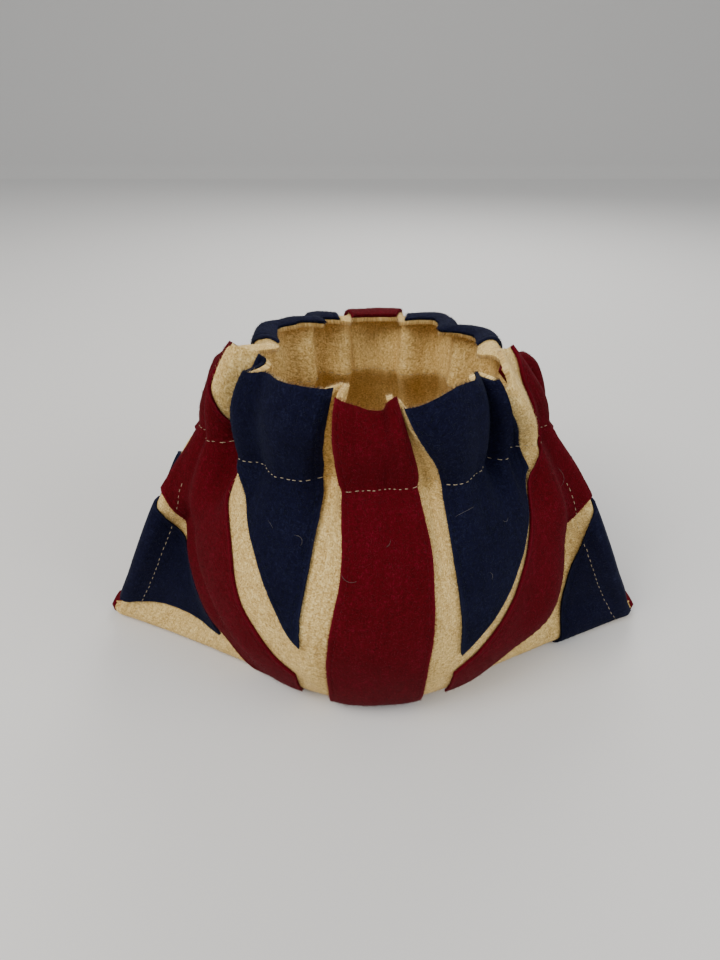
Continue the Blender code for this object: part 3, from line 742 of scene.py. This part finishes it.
# The four quarters differ, as cut and placed by eye.  Lengths on the flat cloth; angles in degrees from the
# upright bar.  Columns: quarter; cream beside the upright bar; inner triangle: angle of its upright side,
# v of its tip, angle of its slant; the diagonal's cut end: u, v of its lower corner, length; angles of its lower and upper edges;
# outer triangle: u, v of its tip, v of its low edge at the hem, angle of its slant
FLAG_QUARTERS = (
    ("front_spout", 0.0085, 4.0, 0.105, 44.5, 0.0290, 0.030, 0.052, 51.5, 39.5, 0.070, 0.0540, 0.034, 51.0),
    ("front_handle", 0.0125, 0.0, 0.0968, 53.0, 0.0275, 0.060, 0.025, 67.0, 48.0, 0.080, 0.027, 0.021, 31.5),
    ("back_spout", 0.0095, 0.0, 0.106, 40.0, 0.0285, 0.062, 0.029, 57.0, 51.0, 0.040, 0.052, 0.036, 57.0),
    ("back_handle", 0.0100, 0.0, 0.103, 40.0, 0.0280, 0.062, 0.028, 57.0, 50.0, 0.042, 0.050, 0.036, 57.0),
)
red_felt = wool(
    "red_felt", (0.036, 0.0001, 0.0008), (0.070, 0.0001, 0.0024), (0.14, 0.003, 0.014), 0.8, 0.35, 0.02, (0.8, 0.03, 0.10)
)


def along_line(point, degrees, distance=FAR):
    """A point at a distance along a direction measured from the upright bar."""
    angle = math.radians(degrees)
    return (point[0] + distance * math.sin(angle), point[1] + distance * math.cos(angle))


def cut_patch(corners):
    """A flat piece with straight sides, cut from the cloth's own grid."""
    bm = flat_grid()
    low = np.min(corners, axis=0) - 0.004
    high = np.max(corners, axis=0) + 0.004
    outside = [f for f in bm.faces if not all(low[k] < f.calc_center_median()[k] < high[k] for k in (0, 1))]
    bmesh.ops.delete(bm, geom=outside, context="FACES")
    middle = Vector((*np.mean(corners, axis=0), 0.0))
    for start, end in zip(corners, corners[1:] + corners[:1]):
        side = Vector((end[0] - start[0], end[1] - start[1], 0.0))
        away = Vector((side.y, -side.x, 0.0)).normalized()
        if away.dot(middle - Vector((*start, 0.0))) > 0:
            away.negate()
        bmesh.ops.bisect_plane(
            bm, geom=bm.verts[:] + bm.edges[:] + bm.faces[:], dist=0.00012,
            plane_co=(*start, 0.0), plane_no=away, clear_outer=True,
        )
    return bm


def add_patch(node, corners, thick, finish):
    """One felt patch, sewn on the cloth's outer side."""
    corners = [tuple(c) for c in corners]
    bm = cut_patch(corners)
    ragged(bm, 0.0003, True)
    sides = list(zip(corners, corners[1:] + corners[:1]))
    patches[node] = (corners, thick, frame_slot[node])
    return felt_piece(node + "_felt", bm, SEW_GAP, thick, False, finish, node, sides)


patches = {}
add_patch("cross_bar", [(-FAR, CROSS_FRONT), (FAR, CROSS_FRONT), (FAR, CROSS_BACK), (-FAR, CROSS_BACK)],
          BAR_THICK, red_felt)
for node, start, end in (
    ("upright_bar_front", CROSS_FRONT - SEW_GAP, -FAR),
    ("upright_bar_back", CROSS_BACK + SEW_GAP, FAR),
):
    add_patch(node, [(-BAR_HALF, start), (BAR_HALF, start), (BAR_HALF, end), (-BAR_HALF, end)],
              BAR_THICK, red_felt)


def mirrored(corners, quarter):
    """A quarter's corners, placed in that quarter of the flag."""
    u_sign = -1.0 if quarter.endswith("spout") else 1.0
    v_sign = -1.0 if quarter.startswith("front") else 1.0
    return [(u * u_sign, v * v_sign) for u, v in corners]


for row in FLAG_QUARTERS:
    foot_u, foot_v, cut, low_angle, high_angle = row[5:10]
    foot = (foot_u, foot_v)
    shoulder = (foot_u, foot_v + cut)
    strip = [foot, along_line(foot, low_angle), along_line(shoulder, high_angle), shoulder]
    add_patch("diagonal_" + row[0], mirrored(strip, row[0]), PATCH_THICK, red_felt)

# ---- the navy triangles -------------------------------------------------------------------------
# Very dark navy felt.  Four long triangles stand beside the upright bar and run up into the ruffle, and
# four more fill the wings beside the spout and the handle.
navy_felt = wool(
    "navy_felt", (0.0010, 0.0012, 0.0055), (0.0032, 0.0034, 0.0155), (0.011, 0.013, 0.036), 0.9, 0.30, 0.02, (0.3, 0.4, 0.8)
)
for row in FLAG_QUARTERS:
    quarter, cream, upright_angle, tip_v, tip_angle = row[:5]
    wing_u, wing_v, low_v, slant = row[10:]
    inner = BAR_HALF + cream
    tip = (inner, tip_v)
    wing = (wing_u, wing_v)
    low = (HALF_WIDTH, low_v)
    low_far = along_line(low, math.degrees(math.atan2(HALF_WIDTH - wing_u, low_v - wing_v)), 0.05)
    slope = (TRIANGLE_REACH - inner) / math.sin(math.radians(tip_angle))
    outline = [tip, along_line(tip, tip_angle, slope), (TRIANGLE_REACH, FAR), along_line(tip, upright_angle)]
    add_patch("inner_triangle_" + quarter, mirrored(outline, quarter),
              PATCH_THICK, navy_felt)
    add_patch("outer_triangle_" + quarter, mirrored([wing, low_far, along_line(wing, slant)], quarter),
              PATCH_THICK, navy_felt)

# ---- the sewing ---------------------------------------------------------------------------------
# Cream thread runs round the neck and down the side hems, and thread of each felt's own dye holds the
# patches a little inside their cut edges.  A stitch is a round bit of thread that dips into the felt.
THREAD_RADIUS = 0.00012
FINE_THREAD_RADIUS = 0.00012
NECK_PITCH = 0.0027
NECK_STITCH = 0.0019        # the part of each pitch that shows
HEM_PITCH = 0.0032
HEM_STITCH = 0.0021
HEM_SEAM = FOLD_AT - 0.0066     # the hem's stitches, from the centre line
HEM_SEAM_TOP = 0.112            # above this the hem is held by the gathering
PATCH_PITCH = 0.0031
PATCH_STITCH = 0.0018
STITCH_SHARES = np.linspace(0.0, 1.0, 5)
STITCH_RISE = np.array([-1.1, 0.1, 0.5, 0.1, -1.1])      # in thread radii, above the felt
STITCH_ROUND = np.array([0.5, 0.9, 1.0, 0.9, 0.5])
luck = np.random.default_rng(5)


def covering(u, v):
    """How high the outermost felt stands at places on the flat cloth, and the name of its dye."""
    lift = np.zeros(len(u))
    dye = np.full(len(u), "cream_felt", dtype=object)
    for corners, thick, slot in patches.values():
        middle = np.mean(corners, axis=0)
        inside = np.ones(len(u), bool)
        for start, end in zip(corners, corners[1:] + corners[:1]):
            run = np.subtract(end, start)
            inner = run[0] * (middle[1] - start[1]) - run[1] * (middle[0] - start[0])
            inside &= (run[0] * (v - start[1]) - run[1] * (u - start[0])) * inner > 0
        lift[inside] = SEW_GAP + thick
        dye[inside] = slot
    return lift, dye


def edge_length(u, v):
    """Flat distance from the centre line to the cloth's top edge."""
    return neck_length(np.abs(u)) + np.where(v < 0, RUFFLE_FRONT, RUFFLE_BACK)


def spun(name, deep, main):
    """Twisted thread or loose fibre of one dye, a little uneven."""
    made = bpy.data.materials.new(name)
    made.use_nodes = True
    tree = made.node_tree
    shader = tree.nodes["Principled BSDF"]
    where = joined(tree, "ShaderNodeTexCoord")
    uneven = joined(tree, "ShaderNodeTexNoise")
    uneven.inputs["Scale"].default_value = 900.0
    tint = joined(tree, "ShaderNodeMix", data_type="RGBA")
    tint.inputs["A"].default_value = (*deep, 1)
    tint.inputs["B"].default_value = (*main, 1)
    bump = joined(tree, "ShaderNodeBump")
    bump.inputs["Strength"].default_value = 0.4
    bump.inputs["Distance"].default_value = 0.0001
    tree.links.new(where.outputs["Object"], uneven.inputs["Vector"])
    tree.links.new(uneven.outputs["Fac"], tint.inputs["Factor"])
    tree.links.new(uneven.outputs["Fac"], bump.inputs["Height"])
    tree.links.new(tint.outputs["Result"], shader.inputs["Base Color"])
    tree.links.new(bump.outputs["Normal"], shader.inputs["Normal"])
    shader.inputs["Roughness"].default_value = 0.75
    shader.inputs["Specular IOR Level"].default_value = 0.15
    return made


cream_thread = spun("cream_thread", (0.38, 0.30, 0.18), (0.58, 0.49, 0.33))
red_thread = spun("red_thread", (0.060, 0.0004, 0.002), (0.11, 0.003, 0.008))
navy_thread = spun("navy_thread", (0.0016, 0.0024, 0.006), (0.005, 0.008, 0.018))


def closed_piece(name, verts, faces, finish):
    """One piece of many small closed bodies, from its points and faces."""
    mesh = bpy.data.meshes.new(name)
    mesh.from_pydata(verts.tolist(), [], faces)
    bm = bmesh.new()
    bm.from_mesh(mesh)
    bmesh.ops.recalc_face_normals(bm, faces=bm.faces)
    bm.to_mesh(mesh)
    bm.free()
    mesh.shade_smooth()
    piece = bpy.data.objects.new(name, mesh)
    bpy.context.scene.collection.objects.link(piece)
    piece.data.materials.append(finish)
    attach(piece, "root")
    return piece


def sew(starts, ends, radius, depth=None):
    """Points and faces of stitches between flat places: on the outermost felt, or at a depth inside."""
    starts = np.array(starts)
    ends = np.array(ends)
    flat = starts[:, None] + (ends - starts)[:, None] * STITCH_SHARES[None, :, None]
    count, steps = flat.shape[:2]
    middle = flat[:, steps // 2]
    place, facing, _ = cloth_at(flat[..., 0].ravel(), flat[..., 1].ravel())
    if depth is None:
        level = np.repeat(covering(middle[:, 0], middle[:, 1])[0], steps)
        outside = 1.0
    else:
        level = -depth
        outside = -1.0
    rise = np.tile(STITCH_RISE * radius, count) * outside
    centres = (place + facing * (level + rise)[:, None]).reshape(count, steps, 3)
    facing = facing.reshape(count, steps, 3)
    run = np.gradient(centres, axis=1)
    run /= np.linalg.norm(run, axis=2, keepdims=True)
    aside = np.cross(run, facing)
    aside /= np.linalg.norm(aside, axis=2, keepdims=True)
    upward = np.cross(aside, run)
    turns = np.linspace(0.0, 2 * math.pi, 6, endpoint=False)
    size = (radius * STITCH_ROUND)[None, :, None, None]
    rings = centres[:, :, None] + size * (
        upward[:, :, None] * np.cos(turns)[:, None] + aside[:, :, None] * np.sin(turns)[:, None]
    )
    faces = []
    for first in range(0, count * steps * 6, steps * 6):
        for step in range(steps - 1):
            low = first + step * 6
            for k in range(6):
                n = (k + 1) % 6
                faces.append((low + k, low + n, low + 6 + n, low + 6 + k))
        faces.append(tuple(range(first, first + 6)))
        faces.append(tuple(range(first + steps * 6 - 1, first + steps * 6 - 7, -1)))
    return rings.reshape(-1, 3), faces


def gathered_up(batches):
    """Several batches of points and faces as one."""
    faces = []
    start = 0
    for verts, batch in batches:
        faces += [tuple(i + start for i in face) for face in batch]
        start += len(verts)
    return np.concatenate([verts for verts, _ in batches]), faces


neck_rows = []
for side in (-1.0, 1.0):
    at = np.arange(-FOLD_AT + 0.0012, FOLD_AT - 0.0030, NECK_PITCH)
    at = at + luck.uniform(-0.0002, 0.0002, len(at))
    shown = NECK_STITCH * luck.uniform(0.8, 1.15, len(at))
    waver = luck.uniform(-0.00022, 0.00022, len(at))
    for shift, depth in ((0.0, None), (0.0008, CLOTH_THICK)):
        first = np.stack([at + shift, side * (neck_length(at + shift) + waver)], axis=-1)
        last = np.stack([at + shift + shown, side * (neck_length(at + shift + shown) + waver)], axis=-1)
        neck_rows.append(sew(first, last, THREAD_RADIUS, depth))
closed_piece("neck_gathering_stitches", *gathered_up(neck_rows), cream_thread)

hem_rows = []
for side in (-1.0, 1.0):
    leave = float(turn_up(HEM_SEAM)) + 0.002
    along_hem = np.arange(leave, HEM_SEAM_TOP, HEM_PITCH)
    for half in (-1.0, 1.0):
        at = along_hem + luck.uniform(-0.0002, 0.0002, len(along_hem))
        shown = HEM_STITCH * luck.uniform(0.85, 1.1, len(at))
        inset = side * (HEM_SEAM + luck.uniform(-0.0002, 0.0002, len(at)))
        for depth in (None, 2 * FOLD_ROUND):
            hem_rows.append(sew(np.stack([inset, half * at], axis=-1), np.stack([inset, half * (at + shown)], axis=-1),
                                THREAD_RADIUS, depth))
closed_piece("side_hem_stitches", *gathered_up(hem_rows), cream_thread)


def patch_seam(corners):
    """The stitches that hold one patch: their two ends, all round and a little inside its cut edge."""
    middle = np.mean(corners, axis=0)
    inwards = []
    for start, end in zip(corners, corners[1:] + corners[:1]):
        run = np.subtract(end, start) / np.hypot(*np.subtract(end, start))
        across = np.array([-run[1], run[0]])
        inwards.append((np.array(start), run, across if np.dot(across, middle - start) > 0 else -across))
    firsts = []
    lasts = []
    for (start, run, across), end in zip(inwards, corners[1:] + corners[:1]):
        at = np.arange(0.0, np.hypot(*np.subtract(end, start)), PATCH_PITCH)
        at = at + luck.uniform(-0.0002, 0.0002, len(at))
        first = start + across * SEAM_IN + run * at[:, None]
        last = first + run * PATCH_STITCH
        keep = np.ones(len(at), bool)
        for points in (first, last):
            for other, _, inside in inwards:
                keep &= (points - other) @ inside > SEAM_IN * 0.98
            u, v = points[:, 0], points[:, 1]
            keep &= (np.abs(u) < FOLD_AT - 0.0012) & (np.abs(v) > turn_up(u) + 0.001)
            keep &= np.abs(v) < edge_length(u, v) - 0.0015
        firsts.append(first[keep])
        lasts.append(last[keep])
    return np.concatenate(firsts), np.concatenate(lasts)


for dye, thread in (("red_felt", red_thread), ("navy_felt", navy_thread)):
    seams = [sew(*patch_seam(corners), FINE_THREAD_RADIUS) for corners, _, slot in patches.values() if slot == dye]
    closed_piece(dye.replace("felt", "patch_stitches"), *gathered_up(seams), thread)

# ---- the nap and the frayed edges ---------------------------------------------------------------
# Short wool fibres stand off every felt and stick out of its cut edges, more of them along the top of the
# ruffle, which has no hem.  Each is a thin tapered hair of its own felt's dye.
HAIR_RADIUS = 0.000055
NAP_HAIRS = 62000
INSIDE_HAIRS = 9000
EDGE_HAIR_STEP = 0.00014
RIM_HAIR_STEP = 0.00008
hair_finish = {
    "cream_felt": spun("cream_fibre", (0.55, 0.38, 0.17), (0.82, 0.64, 0.36)),
    "red_felt": spun("red_fibre", (0.075, 0.001, 0.003), (0.20, 0.012, 0.022)),
    "navy_felt": spun("navy_fibre", (0.003, 0.004, 0.010), (0.022, 0.028, 0.050)),
}
hairs = {name: [] for name in hair_finish}


def grow(u, v, level, way, length, dye):
    """Add hairs rooted at flat places, at a level off the cloth, with a flat direction and a rise each."""
    place, facing, along = cloth_at(u, v)
    across = np.cross(along, facing)
    toward = unit(along * way[:, :1] + across * way[:, 1:2] + facing * way[:, 2:3])
    root = place + facing * level[:, None]
    for name in hair_finish:
        own = dye == name
        hairs[name].append(np.stack([root, toward * length[:, None]], axis=1)[own])


def hair_bodies(rows):
    """Points and faces of hairs, each a thin three-sided spike from its root along its run."""
    root, run = rows[:, 0], rows[:, 1]
    aside = unit(np.cross(run, luck.normal(size=run.shape)))
    other = unit(np.cross(run, aside))
    turns = np.linspace(0.0, 2 * math.pi, 3, endpoint=False)
    ring = (aside[:, None] * np.cos(turns)[:, None] + other[:, None] * np.sin(turns)[:, None]) * HAIR_RADIUS
    verts = np.concatenate([root[:, None] + ring, (root + run)[:, None]], axis=1)
    faces = []
    for i in range(0, len(rows) * 4, 4):
        faces += [(i + 2, i + 1, i), (i, i + 1, i + 3), (i + 1, i + 2, i + 3), (i + 2, i, i + 3)]
    return verts.reshape(-1, 3), faces


def scattered(count):
    """Random places on the flat cloth where it doesn't lie on the table."""
    u = luck.uniform(-FOLD_AT, FOLD_AT, count * 2)
    v = luck.uniform(-0.205, 0.210, count * 2)
    keep = (np.abs(v) > turn_up(u) + 0.0015) & (np.abs(v) < edge_length(u, v) - 0.0005)
    return u[keep][:count], v[keep][:count]


u, v = scattered(NAP_HAIRS)
level, dye = covering(u, v)
turn = luck.uniform(0.0, 2 * math.pi, len(u))
way = np.stack([np.cos(turn), np.sin(turn), luck.uniform(0.12, 0.75, len(u))], axis=-1)
grow(u, v, level - 0.00005, way, luck.uniform(0.0006, 0.0019, len(u)), dye)
u, v = scattered(INSIDE_HAIRS)
turn = luck.uniform(0.0, 2 * math.pi, len(u))
way = np.stack([np.cos(turn), np.sin(turn), -luck.uniform(0.12, 0.75, len(u))], axis=-1)
grow(u, v, np.full(len(u), 0.00005 - CLOTH_THICK), way, luck.uniform(0.0006, 0.0019, len(u)),
     np.full(len(u), "cream_felt", dtype=object))

for corners, thick, slot in patches.values():
    middle = np.mean(corners, axis=0)
    for start, end in zip(corners, corners[1:] + corners[:1]):
        length = np.hypot(*np.subtract(end, start))
        run = np.subtract(end, start) / length
        across = np.array([run[1], -run[0]])
        if np.dot(across, middle - start) > 0:
            across = -across
        at = np.arange(0.0, length, EDGE_HAIR_STEP)
        at = at + luck.uniform(0.0, EDGE_HAIR_STEP, len(at))
        u, v = (np.array(start) + run * at[:, None] - across * 0.0001).T
        keep = (np.abs(u) < FOLD_AT) & (np.abs(v) > turn_up(u) + 0.001) & (np.abs(v) < edge_length(u, v))
        u, v = u[keep], v[keep]
        sideways = across + luck.normal(size=(len(u), 2)) * 0.45
        way = np.concatenate([sideways, luck.uniform(-0.1, 0.6, (len(u), 1))], axis=1)
        grow(u, v, SEW_GAP + luck.uniform(0.1, 1.0, len(u)) * thick, way, luck.uniform(0.0003, 0.0013, len(u)),
             np.full(len(u), slot, dtype=object))

for side in (-1.0, 1.0):
    u = np.arange(-FOLD_AT, FOLD_AT, RIM_HAIR_STEP)
    u = u + luck.uniform(0.0, RIM_HAIR_STEP, len(u))
    v = side * (edge_length(u, np.full(len(u), side)) - 0.0002)
    top, dye = covering(u, v - side * 0.001)
    from_patch = (luck.uniform(size=len(u)) < 0.6) & (top > 0)
    level = np.where(from_patch, SEW_GAP + luck.uniform(0.1, 1.0, len(u)) * (top - SEW_GAP),
                     -luck.uniform(0.05, 0.95, len(u)) * CLOTH_THICK)
    dye = np.where(from_patch, dye, "cream_felt")
    way = np.stack([luck.normal(size=len(u)) * 0.5, np.full(len(u), side), luck.normal(size=len(u)) * 0.4], axis=-1)
    grow(u, v, level, way, luck.uniform(0.0004, 0.0018, len(u)), dye)

for name, finish in hair_finish.items():
    hair = closed_piece(name.replace("felt", "nap"), *hair_bodies(np.concatenate(hairs[name])), finish)

# ---- loose threads and lint ---------------------------------------------------------------------
# A few stray pale fibres lie on the felt, and a loop of the gathering thread stands out near the handle.
LINT_RADIUS = 0.00004
LINT_STEPS = 16
# where each one lies (u, v), its length, its direction in degrees from u, how far it curls, its rise
STRAYS = (
    (-0.0345, -0.1447, 0.0052, -10.0, 130.0, 0.0004),
    (-0.0290, -0.1440, 0.0046, 25.0, -80.0, 0.0003),
    (-0.0464, -0.1451, 0.0036, 5.0, 60.0, 0.0002),
    (0.0326, -0.1525, 0.0085, -22.0, 35.0, 0.0003),
    (0.0430, -0.1264, 0.0034, 40.0, 95.0, 0.0002),
    (-0.0165, -0.1385, 0.0056, 70.0, -110.0, 0.0004),
    (0.0020, -0.1504, 0.0035, 100.0, 80.0, 0.0002),
    (0.0560, -0.1380, 0.0040, 60.0, -90.0, 0.0003),
    (0.1100, -0.1215, 0.0085, 75.0, 120.0, 0.0014),
    (0.0870, 0.1350, 0.0060, -50.0, 110.0, 0.0005),
    (-0.0450, 0.1300, 0.0055, 20.0, -120.0, 0.0004),
)

pale_lint = spun("pale_lint", (0.09, 0.085, 0.08), (0.20, 0.18, 0.16))


def stray_tube(u, v, length, heading, bend, rise):
    """Points and faces of one curled fibre that lies on the outermost felt."""
    share = np.linspace(0.0, 1.0, LINT_STEPS)
    turn = np.radians(heading + bend * share)
    step = length / (LINT_STEPS - 1)
    flat_u = u + np.concatenate(([0.0], np.cumsum(np.cos(turn[:-1]) * step)))
    flat_v = v + np.concatenate(([0.0], np.cumsum(np.sin(turn[:-1]) * step)))
    place, facing, _ = cloth_at(flat_u, flat_v)
    level = covering(flat_u, flat_v)[0].max() + LINT_RADIUS * 0.6 + rise * np.sin(math.pi * share)
    centres = place + facing * level[:, None]
    run = unit(np.gradient(centres, axis=0))
    aside = unit(np.cross(run, facing))
    upward = np.cross(aside, run)
    spin = np.linspace(0.0, 2 * math.pi, 5, endpoint=False)
    size = LINT_RADIUS * np.minimum(1.0, 0.35 + 3.0 * np.minimum(share, 1.0 - share))
    rings = centres[:, None] + size[:, None, None] * (
        upward[:, None] * np.cos(spin)[:, None] + aside[:, None] * np.sin(spin)[:, None]
    )
    faces = [(k * 5 + n, k * 5 + (n + 1) % 5, k * 5 + 5 + (n + 1) % 5, k * 5 + 5 + n)
             for k in range(LINT_STEPS - 1) for n in range(5)]
    faces += [tuple(range(5)), tuple(range(LINT_STEPS * 5 - 1, LINT_STEPS * 5 - 6, -1))]
    return rings.reshape(-1, 3), faces


closed_piece("loose_threads", *gathered_up([stray_tube(*row) for row in STRAYS]), pale_lint)
